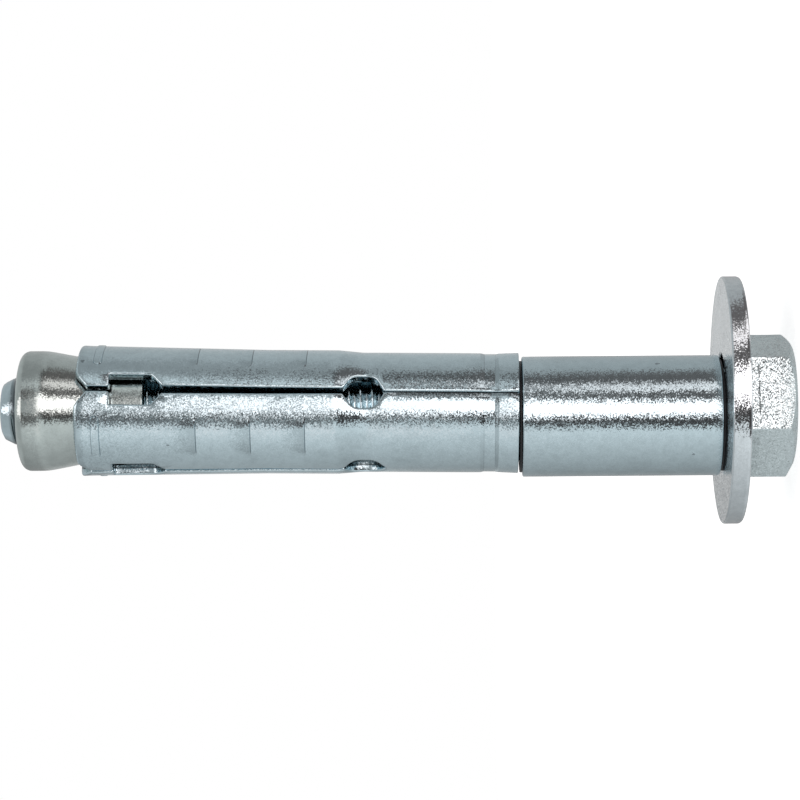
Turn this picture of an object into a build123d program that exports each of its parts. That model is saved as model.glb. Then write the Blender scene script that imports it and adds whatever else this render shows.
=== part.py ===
from build123d import *
import os
from math import atan, cos, degrees, radians, sin, tan

# Sleeve anchor with a hex bolt, all sizes in millimetres.
# The origin is the middle of the head's end face, and +Z runs along the bolt to its tip.
# The anchor stands on its head. Its loose pieces lie to one side, as far as their play lets them.

# Hex bolt
thread_diameter = 12.0
thread_crest_shortfall = 0.14
head_height = 7.65
head_across_flats = 18.85
head_turn = 11.4
head_corner_round = 0.25
head_end_margin = 0.5
head_bevel_angle = 30.0
bearing_face_margin = 0.8
bearing_face_height = 0.45
tip_bevel_depth = 1.83
tip_bevel_angle = 26.5
tip_past_nut = 2.9

# Flat washer
washer_diameter = 37.0
washer_hole_clearance = 2.0
washer_thickness = 2.8
washer_rim_bevel = 0.4
washer_side_gap = 0.23

# Distance sleeve
distance_sleeve_bore_clearance = 3.0
distance_sleeve_wall = 1.5
distance_sleeve_length = 29.45
distance_sleeve_bevel_depth = 0.6
distance_sleeve_bevel_length = 0.35
distance_sleeve_side_gap = 0.16

# Thin plastic rings at both ends of the distance sleeve
ring_width = 0.85
ring_thickness = 0.4

# Expansion sleeve: tube, end lip and rolled groove, with heights from its head-side end
expansion_sleeve_length = 65.4
expansion_sleeve_wall = 1.5
expansion_sleeve_bore_clearance = 2.82
expansion_sleeve_side_gap = 0.63
end_lip_rise = 0.15
end_lip_length = 1.2
groove_height = 4.3
groove_width = 4.1
groove_bottom_width = 1.7
groove_depth = 0.15

# Expansion sleeve: how its outside widens to the mouth
first_bend_height = 23.3
first_bend_length = 3.5
first_bend_rise = 0.33
second_bend_height = 37.3
mouth_rise = 0.85
mouth_bevel_depth = 0.35
mouth_bevel_length = 0.45

# Rows of openings in the expansion sleeve: root window, slot, mouth window, lip slot and notch
row_count = 4
first_row_angle = -69.5
root_window_height = 22.85
root_window_length = 6.1
root_window_width = 5.0
root_window_taper = 1.4
root_window_round = 1.3
mouth_window_below_mouth = 9.15
mouth_window_length = 7.7
mouth_window_width = 4.75
mouth_window_taper = 1.6
mouth_window_round = 1.2
root_slot_width = 0.8
mouth_slot_width = 1.15
lip_slot_width = 0.72
notch_depth = 1.7
notch_side_width = 2.2

# Butt seam of the rolled sheet, in line with the first row
seam_gap = 0.1
seam_groove_width = 0.75
seam_groove_depth = 0.3

# Barbs pressed up between the rows, with their steps facing the head
first_barb_height = 31.4
barb_pitch = 8.0
barb_count = 3
barb_length = 2.4
barb_rise = 0.1
barb_arc = 40.0
mouth_barb_below_mouth = 4.0
mouth_barb_length = 1.7
mouth_barb_rise = 0.2
barb_foot_depth = 0.3

# Cone nut
cone_nut_length = 18.65
cone_angle = 10.8
cone_nut_undersize = 0.08
nut_neck_clearance = 0.96
nut_rim_length = 2.6
nut_end_round = 1.25
nut_end_steps = 3
nut_seat_clearance = 0.21
nut_bore_clearance = 0.06
nut_bore_bevel = 0.45

# How far cutting shapes reach past the surfaces that they cut
cut_margin = 2.0

# Radii worked out from the sizes above
shank_radius = (thread_diameter - thread_crest_shortfall) / 2
head_corner_radius = head_across_flats / 2 / cos(radians(30))
washer_hole_radius = (thread_diameter + washer_hole_clearance) / 2
distance_sleeve_bore_radius = (thread_diameter + distance_sleeve_bore_clearance) / 2
distance_sleeve_radius = distance_sleeve_bore_radius + distance_sleeve_wall
tube_bore_radius = (thread_diameter + expansion_sleeve_bore_clearance) / 2
tube_radius = tube_bore_radius + expansion_sleeve_wall
mouth_bore_radius = tube_bore_radius + mouth_rise
mouth_radius = mouth_bore_radius + expansion_sleeve_wall
nut_radius = distance_sleeve_radius - cone_nut_undersize / 2
nut_neck_radius = mouth_bore_radius - nut_neck_clearance

# How far the loose pieces lie from the bolt's axis
washer_shift = washer_hole_radius - shank_radius - washer_side_gap
distance_sleeve_shift = shank_radius + distance_sleeve_side_gap - distance_sleeve_bore_radius
sleeve_end_shift = shank_radius + expansion_sleeve_side_gap - tube_bore_radius
sleeve_tilt = degrees(atan(-sleeve_end_shift / expansion_sleeve_length))

# Heights of the stack
washer_top = head_height + washer_thickness
distance_sleeve_base = washer_top + ring_thickness
middle_ring_base = distance_sleeve_base + distance_sleeve_length
tilt_lift = (tube_radius + end_lip_rise) * sin(radians(sleeve_tilt))
expansion_sleeve_base = middle_ring_base + ring_thickness + tilt_lift
mouth_height = expansion_sleeve_base + expansion_sleeve_length
nut_rim_base = cone_nut_length - nut_end_round - nut_rim_length
nut_cone_base = nut_rim_base - (nut_radius - nut_neck_radius) / tan(radians(cone_angle))
nut_seat_height = nut_cone_base + (nut_neck_clearance - nut_seat_clearance) / tan(radians(cone_angle))
cone_nut_base = mouth_height - nut_seat_height
bolt_length = cone_nut_base + cone_nut_length + tip_past_nut


def upright(points):
    """Points of a half section, given as (radius, height), stood up on the XZ plane."""
    return [(radius, 0, height) for radius, height in points]


def turned(points):
    """A solid of revolution about Z from the corners of its half section."""
    return revolve(make_face(Polyline(*upright(points), close=True)), Axis.Z)


def stepped_round(radius, top, rounding, steps):
    """Corners of a half section's rounded upper corner, as equal steps of a quarter circle."""
    corners = []
    for step in range(steps + 1):
        turn = radians(90) * step / steps
        corners.append((radius - rounding * (1 - cos(turn)), top - rounding * (1 - sin(turn))))
    return corners


def make_hex_bolt():
    """The bolt: bevelled hexagon head, round bearing face and shank with a bevelled tip."""
    hexagon_height = head_height - bearing_face_height
    hexagon = extrude(RegularPolygon(head_corner_radius, 6, rotation=head_turn), hexagon_height)
    hexagon = fillet(hexagon.edges().filter_by(Axis.Z), head_corner_round)
    end_radius = head_across_flats / 2 - head_end_margin
    bevel_height = (head_corner_radius - end_radius) * tan(radians(head_bevel_angle))
    envelope = turned([
        (0, 0),
        (end_radius, 0),
        (head_corner_radius, bevel_height),
        (head_corner_radius, hexagon_height),
        (0, hexagon_height),
    ])
    bearing_radius = head_across_flats / 2 - bearing_face_margin
    tip_radius = shank_radius - tip_bevel_depth
    shank = turned([
        (0, hexagon_height),
        (bearing_radius, hexagon_height),
        (bearing_radius, head_height),
        (shank_radius, head_height),
        (shank_radius, bolt_length - tip_bevel_depth / tan(radians(tip_bevel_angle))),
        (tip_radius, bolt_length),
        (0, bolt_length),
    ])
    return (hexagon & envelope) + shank


def make_flat_washer():
    """A stamped washer, bevelled on the head's side and pushed to one side of the bolt."""
    radius = washer_diameter / 2
    washer = turned([
        (washer_hole_radius, 0),
        (radius - washer_rim_bevel, 0),
        (radius, washer_rim_bevel),
        (radius, washer_thickness),
        (washer_hole_radius, washer_thickness),
    ])
    return Pos(washer_shift, 0, head_height) * washer


def make_ring(base):
    """A thin plastic ring with the distance sleeve's bore, lying against its end."""
    outline = Circle(distance_sleeve_bore_radius + ring_width) - Circle(distance_sleeve_bore_radius)
    return Pos(distance_sleeve_shift, 0, base) * extrude(outline, ring_thickness)


def make_distance_sleeve():
    """A cut tube with bevelled outer edges."""
    end_radius = distance_sleeve_radius - distance_sleeve_bevel_depth
    top = distance_sleeve_length
    sleeve = turned([
        (distance_sleeve_bore_radius, 0),
        (end_radius, 0),
        (distance_sleeve_radius, distance_sleeve_bevel_length),
        (distance_sleeve_radius, top - distance_sleeve_bevel_length),
        (end_radius, top),
        (distance_sleeve_bore_radius, top),
    ])
    return Pos(distance_sleeve_shift, 0, distance_sleeve_base) * sleeve


def sleeve_bends():
    """The expansion sleeve's outside above its groove, as (radius, height) points up to the mouth."""
    top = expansion_sleeve_length
    return [
        (tube_radius, groove_height + groove_width / 2),
        (tube_radius, first_bend_height),
        (tube_radius + first_bend_rise, first_bend_height + first_bend_length),
        (tube_radius + first_bend_rise, second_bend_height),
        (mouth_radius, top - mouth_bevel_length),
    ]


def sleeve_radius(height):
    """The expansion sleeve's outer radius at one height above its groove, straight between bends."""
    bends = sleeve_bends()
    for (low_radius, low), (high_radius, high) in zip(bends, bends[1:]):
        if height <= high:
            break
    return low_radius + (high_radius - low_radius) * (height - low) / (high - low)


def make_sleeve_blank():
    """The rolled tube before its slots: end lip, rolled groove, two gentle bends and bevelled mouth."""
    bends = sleeve_bends()
    lip_radius = tube_radius + end_lip_rise
    groove_radius = tube_radius - groove_depth
    head_end = [
        (tube_bore_radius, 0),
        (lip_radius, 0),
        (lip_radius, end_lip_length),
        (tube_radius, groove_height - groove_width / 2),
        (groove_radius, groove_height - groove_bottom_width / 2),
        (groove_radius, groove_height + groove_bottom_width / 2),
    ]
    mouth_end = [
        (mouth_radius - mouth_bevel_depth, expansion_sleeve_length),
        (mouth_bore_radius, expansion_sleeve_length),
    ]
    inside = [(radius - expansion_sleeve_wall, height) for radius, height in reversed(bends[1:-1])]
    return turned(head_end + bends + mouth_end + inside)


def mirrored_face(half_outline):
    """A flat face symmetric about the X axis, from the corners of its upper half."""
    lower_half = [(x, -y) for x, y in reversed(half_outline) if y > 0]
    return make_face(Polyline(*half_outline, *lower_half, close=True))


def rounded_at(face, x, y, rounding):
    """The face with its corner at (x, y) and the mirrored one rounded."""
    corners = face.vertices().filter_by(lambda corner: abs(corner.X - x) + abs(abs(corner.Y) - y) < 0.01)
    return fillet(corners, rounding)


def make_root_window():
    """The long window where the segments begin: both ends taper down to the slot."""
    low = root_window_height - root_window_length / 2
    high = low + root_window_length
    side = root_window_width / 2
    slot_side = root_slot_width / 2
    window = mirrored_face([
        (low, slot_side),
        (low + root_window_taper, side),
        (high - root_window_taper, side),
        (high, slot_side),
    ])
    window = rounded_at(window, low + root_window_taper, side, root_window_round)
    return rounded_at(window, high - root_window_taper, side, root_window_round)


def make_slot():
    """The widening slot between the two windows, reaching into both."""
    low = root_window_height
    high = expansion_sleeve_length - mouth_window_below_mouth
    return mirrored_face([(low, root_slot_width / 2), (high, mouth_slot_width / 2)])


def make_mouth_window():
    """The window near the mouth: tapered from the slot, square on its mouth side."""
    low = expansion_sleeve_length - mouth_window_below_mouth - mouth_window_length / 2
    side = mouth_window_width / 2
    window = mirrored_face([
        (low, mouth_slot_width / 2),
        (low + mouth_window_taper, side),
        (low + mouth_window_length, side),
    ])
    return rounded_at(window, low + mouth_window_taper, side, mouth_window_round)


def make_lip_slot():
    """The narrow slot from the mouth window to the mouth, where it opens into a notch."""
    top = expansion_sleeve_length
    side = lip_slot_width / 2
    notch_slope = notch_side_width / notch_depth
    return mirrored_face([
        (top - mouth_window_below_mouth, side),
        (top - notch_depth, side),
        (top + cut_margin, side + notch_slope * (notch_depth + cut_margin)),
    ])


def make_row_cutter():
    """One row of openings, drawn flat, stood up along Z and pushed out through the wall at +X."""
    openings = make_root_window() + make_slot() + make_mouth_window() + make_lip_slot()
    inner = tube_bore_radius - cut_margin
    outer = mouth_radius + cut_margin
    facing_out = Plane(origin=(inner, 0, 0), x_dir=(0, 0, 1), z_dir=(1, 0, 0))
    return extrude(facing_out * openings, outer - inner)


def make_seam_cutter():
    """The butt seam from the head end up to the root window: a fine gap between rounded-off lips."""
    gap = Pos(X=tube_radius) * Box(
        2 * expansion_sleeve_wall + cut_margin,
        seam_gap,
        root_window_height,
        align=(Align.CENTER, Align.CENTER, Align.MIN),
    )
    bottom = tube_radius - seam_groove_depth
    side = seam_groove_width / 2 * (seam_groove_depth + cut_margin) / seam_groove_depth
    corners = [(bottom, 0), (tube_radius + cut_margin, side), (tube_radius + cut_margin, -side)]
    return gap + extrude(make_face(Polyline(*corners, close=True)), root_window_height)


def make_barb(height, length, rise):
    """A pressed wedge over part of a segment: a step that faces the head, fading out to the mouth."""
    low, high = sleeve_radius(height), sleeve_radius(height + length)
    section = Polyline(
        *upright([
            (low - barb_foot_depth, height),
            (low + rise, height),
            (high, height + length),
            (high - barb_foot_depth, height + length),
        ]),
        close=True,
    )
    return Rot(Z=-barb_arc / 2) * revolve(make_face(section), Axis.Z, barb_arc)


def make_segment_barbs():
    """The barbs of one segment, one above the other at +X."""
    barbs = []
    for index in range(barb_count):
        barbs.append(make_barb(first_barb_height + index * barb_pitch, barb_length, barb_rise))
    mouth_barb_height = expansion_sleeve_length - mouth_barb_below_mouth
    barbs.append(make_barb(mouth_barb_height, mouth_barb_length, mouth_barb_rise))
    return barbs


def make_expansion_sleeve():
    """The slotted, barbed sleeve, tilted a little: centred at its mouth, to one side at its head end."""
    sleeve = make_sleeve_blank()
    barbs = make_segment_barbs()
    cutter = make_row_cutter()
    row_pitch = 360 / row_count
    for index in range(row_count):
        row_turn = Rot(Z=first_row_angle + row_pitch * index)
        segment_turn = row_turn * Rot(Z=row_pitch / 2)
        for barb in barbs:
            sleeve += segment_turn * barb
        sleeve -= row_turn * cutter
    sleeve -= Rot(Z=first_row_angle) * make_seam_cutter()
    return Pos(sleeve_end_shift, 0, expansion_sleeve_base) * Rot(Y=sleeve_tilt) * sleeve


def make_cone_nut():
    """The nut: thin neck inside the sleeve, cone that spreads its mouth, straight rim and round end."""
    bore_radius = shank_radius + nut_bore_clearance
    nut = turned([
        (bore_radius, 0),
        (nut_neck_radius, 0),
        (nut_neck_radius, nut_cone_base),
        (nut_radius, nut_rim_base),
        *stepped_round(nut_radius, cone_nut_length, nut_end_round, nut_end_steps),
        (bore_radius + nut_bore_bevel, cone_nut_length),
        (bore_radius, cone_nut_length - nut_bore_bevel),
    ])
    return Pos(Z=cone_nut_base) * nut


pieces = {
    "hex_bolt": make_hex_bolt(),
    "flat_washer": make_flat_washer(),
    "head_end_ring": make_ring(washer_top),
    "distance_sleeve": make_distance_sleeve(),
    "middle_ring": make_ring(middle_ring_base),
    "expansion_sleeve": make_expansion_sleeve(),
    "cone_nut": make_cone_nut(),
}

os.makedirs("parts", exist_ok=True)
for name, piece in pieces.items():
    export_step(piece, f"parts/{name}.step")
    size = piece.bounding_box().size
    print(f"{name}: {size.X:.2f} x {size.Y:.2f} x {size.Z:.2f} mm, volume {piece.volume:.1f} mm3")
print(f"The bolt is {bolt_length - head_height:.2f} mm long under its head")
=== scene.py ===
from math import atan2, ceil, cos, hypot, pi, radians, sin, tan

import bmesh
import bpy
import numpy as np
from mathutils import Matrix, Vector
from mathutils.geometry import delaunay_2d_cdt


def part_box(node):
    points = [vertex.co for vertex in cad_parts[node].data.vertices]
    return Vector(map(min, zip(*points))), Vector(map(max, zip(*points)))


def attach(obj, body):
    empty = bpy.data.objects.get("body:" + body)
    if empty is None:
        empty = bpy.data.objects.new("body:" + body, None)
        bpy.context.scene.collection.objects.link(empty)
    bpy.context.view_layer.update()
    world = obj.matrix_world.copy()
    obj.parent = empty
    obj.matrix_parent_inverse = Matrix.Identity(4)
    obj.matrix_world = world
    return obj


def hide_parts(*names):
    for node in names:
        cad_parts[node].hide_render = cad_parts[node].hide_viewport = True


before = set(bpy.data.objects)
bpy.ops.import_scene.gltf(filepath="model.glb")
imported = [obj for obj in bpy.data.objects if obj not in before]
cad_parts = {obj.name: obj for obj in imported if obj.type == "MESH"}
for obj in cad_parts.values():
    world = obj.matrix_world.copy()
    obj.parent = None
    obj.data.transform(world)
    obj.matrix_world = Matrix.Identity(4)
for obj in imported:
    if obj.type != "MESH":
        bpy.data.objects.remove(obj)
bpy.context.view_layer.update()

# Sleeve anchor with a hex bolt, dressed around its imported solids. Everything is in metres, +Z runs
# along the bolt from its head to its tip, and settings below are given in millimetres.

bl_info = {
    "name": "Sleeve Anchor",
    "version": (1, 0, 0),
    "blender": (4, 5, 0),
    "location": "3D View > Sidebar > Anchor",
    "description": "Builds a zinc-plated sleeve anchor: bolt, washer, sleeves, rings and cone nut",
    "category": "Add Mesh",
}

MM = 0.001

# For every mesh: doubles closer than this are merged, arcs take steps of this angle at most, and
# round pieces have this many columns, the wide washer more
MERGE_DISTANCE = 2e-7
ARC_STEP = radians(15)
ROUND_COLUMNS, WASHER_COLUMNS = 192, 256


def length(name, description, millimetres):
    """A length setting, given in millimetres and kept in metres."""
    return bpy.props.FloatProperty(
        name=name, description=description, default=millimetres * MM, unit="LENGTH", precision=5
    )


def angle(name, description, degrees):
    """An angle setting, given in degrees and kept in radians."""
    return bpy.props.FloatProperty(
        name=name, description=description, default=radians(degrees), unit="ROTATION", subtype="ANGLE"
    )


def amount(name, description, value):
    """A plain number setting."""
    return bpy.props.FloatProperty(name=name, description=description, default=value)


def colour(name, description, red, green, blue):
    """A colour setting in linear red, green and blue."""
    return bpy.props.FloatVectorProperty(
        name=name, description=description, default=(red, green, blue), size=3, subtype="COLOR"
    )


class BoltSettings(bpy.types.PropertyGroup):
    """Sizes of the hex bolt."""

    thread_pitch: length("Thread pitch", "Rise of the right-hand thread in one turn", 1.75)
    thread_depth: length("Thread depth", "From the thread's crest to its root", 1.03)
    crest_radius: length("Crest radius", "Radius of the thread's crests", 5.93)
    tip_bevel_depth: length("Tip bevel depth", "How far the tip's bevel cuts in", 1.83)
    tip_bevel_angle: angle("Tip bevel angle", "Slope of the tip's bevel to the axis", 26.5)
    tip_round: length("Tip rounding", "Rounding of the tip's end face", 0.8)
    across_flats: length("Across flats", "Width of the hexagon head", 18.85)
    head_turn: angle("Head turn", "Turn of the hexagon about the bolt", 11.4)
    head_corner_round: length("Corner rounding", "Rounding of the hexagon's upright edges", 0.3)
    head_edge_round: length("Edge rounding", "Small rounding of the head's other edges", 0.1)
    head_end_margin: length("End margin", "From the head's flats in to its round end face", 0.5)
    head_bevel_angle: angle("Head bevel", "Slope of the bevel on the head's corners", 30)
    bearing_margin: length("Bearing margin", "From the head's flats in to its round bearing face", 0.8)
    bearing_height: length("Bearing height", "Height of the round bearing face", 0.45)
    trim_face: angle("Trim face", "Turn of the face that carries the broken trim line", -78.6)
    trim_line: length("Trim line", "From the bearing side's shoulder down to the trim line", 1.54)


class WasherSettings(bpy.types.PropertyGroup):
    """Sizes of the flat washer."""

    hole_radius: length("Hole radius", "Radius of the washer's hole", 7.0)
    front_round: length("Front rounding", "Rounding of the rim on the sleeves' side", 0.3)
    back_round: length("Back rounding", "Rounding of the rim on the head's side", 0.6)
    hole_front_round: length("Hole front", "Rounding of the hole on the sleeves' side", 0.3)
    hole_back_round: length("Hole back", "Rounding of the hole on the head's side", 0.15)


class SpacerSettings(bpy.types.PropertyGroup):
    """Sizes of the distance sleeve and of the plastic rings at its ends."""

    wall: length("Wall", "Thickness of the tube", 1.5)
    bevel_in: length("Bevel in", "How far the end bevels reach in", 0.3)
    bevel_up: length("Bevel up", "How far the end bevels reach along the tube", 0.1)
    bevel_round: length("Bevel rounding", "Rounding where a bevel meets the outside", 0.2)
    end_round: length("End rounding", "Rounding where a bevel meets the end", 0.1)
    ring_round: length("Ring rounding", "Rounding of the plastic rings' outer edges", 0.12)


class SleeveSettings(bpy.types.PropertyGroup):
    """Sizes of the slotted expansion sleeve, with heights from its head-side end."""

    wall: length("Wall", "Thickness of the rolled sheet", 1.5)
    total_length: length("Length", "From the head-side end to the mouth", 65.15)
    end_shift: length("End shift", "How far the head-side end lies from the bolt's axis", -0.85)
    tube_radius: length("Tube radius", "Outer radius of the plain tube", 8.91)
    lip_rise: length("Lip rise", "How far the head-side end is wider than the tube", 0.09)
    groove_height: length("Groove height", "Height of the rolled groove's middle", 4.3)
    groove_bottom: length("Groove bottom", "Width of the groove's flat bottom", 1.65)
    groove_depth: length("Groove depth", "Depth of the groove's bottom", 0.13)
    groove_step: length("Groove step", "Height of the short slopes at the bottom's sides", 0.11)
    groove_flank: length("Groove flank", "Length of those slopes", 0.5)
    groove_reach: length("Groove reach", "How far the tube narrows to each side of the groove", 3.1)
    first_bend: length("First bend", "Height where the tube starts to widen", 23.3)
    first_bend_length: length("Bend length", "Length of that widening", 3.5)
    first_bend_rise: length("Bend rise", "How far the outside widens there", 0.33)
    second_bend: length("Second bend", "Height where the segments start to spread", 37.3)
    mouth_rise: length("Mouth rise", "How far the outside has widened at the mouth", 0.79)
    mouth_lip_rise: length("Mouth lip rise", "Further widening over the mouth's lip", 0.06)
    mouth_lip_length: length("Mouth lip", "Length of the mouth's lip", 1.5)
    edge_round: length("Edge rounding", "Rolled-over edge that the punch leaves", 0.30)
    first_row: angle("First row", "World angle of the seam and its row of openings", -69.5)
    seam_gap: length("Seam gap", "Gap between the two edges of the rolled sheet", 0.1)
    seam_flank: length("Seam flank", "Width of the seam's sloping lower edge", 0.7)
    seam_slope: angle("Seam slope", "Slope of that edge", 14)
    root_window: length("Root window", "Height of the root window's middle", 22.85)
    root_window_length: length("Root length", "Length of the root window", 6.1)
    root_window_width: length("Root width", "Width of the root window", 5.0)
    root_window_taper: length("Root taper", "Length of the root window's tapered ends", 1.4)
    root_window_round: length("Root rounding", "Rounding of the root window's corners", 1.9)
    mouth_window: length("Mouth window", "Height of the mouth window's middle", 56.25)
    mouth_window_length: length("Window length", "Length of the mouth window", 7.7)
    mouth_window_width: length("Window width", "Width of the mouth window", 4.75)
    mouth_window_taper: length("Window taper", "Length of the mouth window's tapered end", 1.6)
    mouth_window_round: length("Window rounding", "Rounding where that taper ends", 1.2)
    square_round: length("Square rounding", "Rounding of the mouth window's square corners", 0.15)
    root_slot: length("Slot at root", "Width of the slot at the root window", 0.8)
    mouth_slot: length("Slot at mouth", "Width of the slot at the mouth window", 1.15)
    lip_slot: length("Lip slot", "Width of the slot through the lip", 0.72)
    notch_depth: length("Notch depth", "Depth of the notches in the mouth", 1.7)
    notch_side: length("Notch side", "Width of a notch to each side of its slot", 2.2)
    barb_arc: angle("Barb arc", "Arc that each barb covers", 40)
    barb_run: length("Barb length", "Length of a barb's ramp", 3.8)
    barb_rise: length("Barb rise", "Height of a barb's step", 0.14)
    barb_side: length("Barb side", "Width over which a barb's sides rise", 1.2)
    band_from_mouth: length("Band place", "From the mouth to the raised band's middle", 3.05)
    band_width: length("Band width", "Width of the raised band", 1.25)
    band_rise: length("Band rise", "Height of the raised band", 0.16)
    band_round: length("Band rounding", "Rounding of the band's ends", 0.5)
    barb_edge: length("Barb edge", "Width of the barbs' raised edges", 0.08)


class NutSettings(bpy.types.PropertyGroup):
    """Sizes of the cone nut."""

    neck_radius: length("Neck radius", "Radius of the neck inside the sleeve", 7.3)
    neck_round: length("Neck rounding", "Rounding of the neck's end", 0.2)
    neck_blend: length("Neck blend", "Radius of the blend between neck and cone", 1.5)
    cone_angle: angle("Cone angle", "Slope of the cone to the axis", 10.8)
    rim_length: length("Rim length", "Length of the straight rim", 2.6)
    end_round: length("End rounding", "Rounding of the outer end", 1.25)
    cone_blend: length("Cone blend", "Radius of the blend between cone and rim", 9.0)
    bore_radius: length("Bore radius", "Radius of the threaded bore", 5.99)
    bore_bevel: length("Bore bevel", "Bevel at both ends of the bore", 0.45)
    bore_round: length("Bore rounding", "Rounding where the outer bevel meets the end", 0.1)


class FinishSettings(bpy.types.PropertyGroup):
    """Colours and gloss of the finishes."""

    zinc: colour("Bright zinc", "Plating on bolt and sleeves", 0.58, 0.72, 0.775)
    head_zinc: colour("Head zinc", "Plating on the bolt's head", 0.74, 0.86, 0.89)
    washer_zinc: colour("Washer zinc", "Plating on the washer", 0.72, 0.80, 0.84)
    nut_zinc: colour("Nut zinc", "Warmer plating on the cone nut", 0.57, 0.65, 0.64)
    plastic: colour("Ring plastic", "Black moulded plastic", 0.012, 0.012, 0.014)
    # The dark colour of painted shade in corners, creases and recesses, and of real dirt and nicks
    shade_and_dirt: colour("Dirt", "What darkens the plating in corners and nicks", 0.02, 0.027, 0.03)
    roughness: amount("Roughness", "Roughness of the plating between its grains", 0.12)
    head_roughness: amount("Head roughness", "Roughness of the head's plating", 0.18)
    nut_roughness: amount("Nut roughness", "Roughness of the nut's satin plating", 0.17)
    grain_size: length("Grain size", "Width of the plating's crystal grains", 0.15)
    grain_tilt: amount("Grain tilt", "Widest difference in how the grains slope sideways", 0.15)
    grain_lift: amount("Grain lift", "How far they lean up and down, as a share of that", 0.35)


class StageSettings(bpy.types.PropertyGroup):
    """Where the camera stands and how the studio is lit."""

    distance: length("Distance", "From the camera to the bolt's axis", 387)
    camera_height: length("Camera height", "Height of the level camera over the floor", 48.4)
    camera_side: length("Camera side", "How far the camera's axis passes beside the bolt's", 1.15)
    roll: angle("Roll", "Small turn of the picture beyond a quarter turn", 0.45)
    lens: amount("Lens", "Focal length in millimetres on a 36 mm sensor", 116.33)
    lens_shift: amount("Lens shift", "Sideways shift, as a share of the picture's width", -0.0842)
    light: amount("Light", "Strength of the studio light", 1.0)


def unit(vector):
    """The vector at length one."""
    return vector / hypot(*vector)


def corner_arc(before, corner, after, radius):
    """Points of the arc that rounds one corner of a flat path.

    The arc starts radius * tan(half the turn) before the corner, and its centre lies a radius to
    the side that the path turns to, so its points are the start turned about the centre.
    """
    coming, going = unit(corner - before), unit(after - corner)
    turn = atan2(coming[0] * going[1] - coming[1] * going[0], coming @ going)
    if radius == 0 or abs(turn) < 1e-6:
        return corner[None]
    start = corner - radius * tan(abs(turn) / 2) * coming
    arm = np.sign(turn) * radius * np.array([coming[1], -coming[0]])
    turns = np.linspace(0, turn, 2 + ceil(abs(turn) / ARC_STEP))
    across = np.column_stack([arm[0] * np.cos(turns), arm[1] * np.cos(turns)])
    along = np.column_stack([-arm[1] * np.sin(turns), arm[0] * np.sin(turns)])
    return start - arm + across + along


def rounded_path(corners, radii, closed=False):
    """A flat path through the corners, with each corner replaced by an arc of its own radius."""
    corners = np.array(corners, float)
    before, after = np.roll(corners, 1, axis=0), np.roll(corners, -1, axis=0)
    arcs = [corner_arc(*each) for each in zip(before, corners, after, radii)]
    if not closed:
        arcs[0], arcs[-1] = corners[:1], corners[-1:]
    return np.concatenate(arcs)


def divided(path, step):
    """The path with points added evenly on each run that is longer than the step."""
    runs = np.hypot(*np.diff(path, axis=0).T)
    parts = np.maximum(1, np.ceil(runs / step)).astype(int)
    start = np.repeat(np.arange(len(runs)), parts)
    share = (np.arange(parts.sum()) - np.repeat(np.cumsum(parts) - parts, parts)) / parts[start]
    points = path[start] + share[:, None] * (path[start + 1] - path[start])
    return np.vstack([points, path[-1:]])


def divided_loop(path, step):
    """The closed path with points added in the same way, on the run back to its start too."""
    return divided(np.vstack([path, path[:1]]), step)[:-1]


def grid_faces(index):
    """Quads between neighbouring entries of a two-way table of point numbers."""
    corners = [index[:-1, :-1], index[1:, :-1], index[1:, 1:], index[:-1, 1:]]
    return np.stack(corners, axis=-1).reshape(-1, 4)


def grid_numbers(rows, columns):
    """A two-way table of point numbers, counted row by row."""
    return np.arange(rows * columns).reshape(rows, columns)


def closed_round(index):
    """The table of point numbers with its first column repeated at the end."""
    return np.hstack([index, index[:, :1]])


def make_piece(name, points, faces, material, sharp_angle=radians(40), shade_and_dirt=None):
    """A mesh object with doubles merged, smooth faces and sharp edges above the given angle.

    The painted shade and dirt, zero to one at each point, is kept as an attribute that darkens the
    plating.
    """
    mesh = bpy.data.meshes.new(name)
    mesh.from_pydata(points.reshape(-1, 3).tolist(), [], faces)
    if shade_and_dirt is not None:
        attribute = mesh.attributes.new("shade_and_dirt", "FLOAT", "POINT")
        attribute.data.foreach_set("value", shade_and_dirt.ravel().astype(np.float32))
    shell = bmesh.new()
    shell.from_mesh(mesh)
    bmesh.ops.remove_doubles(shell, verts=shell.verts, dist=MERGE_DISTANCE)
    bmesh.ops.dissolve_degenerate(shell, edges=shell.edges, dist=MERGE_DISTANCE)
    shell.to_mesh(mesh)
    shell.free()
    mesh.shade_smooth()
    mesh.set_sharp_from_angle(angle=sharp_angle)
    mesh.materials.append(material)
    piece = bpy.data.objects.new(name, mesh)
    bpy.context.scene.collection.objects.link(piece)
    return piece


def turned_piece(name, profile, centre, material, columns=ROUND_COLUMNS):
    """A closed (radius, height) profile carried once round an upright axis.

    Point (i, j) lies at angle 2 pi i / columns and at the profile's j-th radius and height. The
    profile climbs on the outside, so that the faces point outwards.
    """
    turns = np.linspace(0, 2 * pi, columns, endpoint=False)[:, None]
    radius, height = profile.T
    points = np.stack([
        centre[0] + radius * np.cos(turns),
        centre[1] + radius * np.sin(turns),
        np.broadcast_to(height, (columns, len(height))),
    ], axis=-1)
    index = grid_numbers(columns, len(profile))
    faces = grid_faces(closed_round(np.vstack([index, index[:1]]))).tolist()
    piece = make_piece(name, points, faces, material)
    keep_faces_flat(piece)
    return piece


def keep_faces_flat(piece):
    """Weights the normals by face area, so that large faces stay flat up to their small roundings."""
    weighting = piece.modifiers.new("flat faces", "WEIGHTED_NORMAL")
    weighting.keep_sharp = True


def extent(node):
    """A round CAD node's centre (x, y), outer radius, lowest and highest point."""
    low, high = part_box(node)
    return ((low.x + high.x) / 2, (low.y + high.y) / 2), (high.x - low.x) / 2, low.z, high.z


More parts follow.
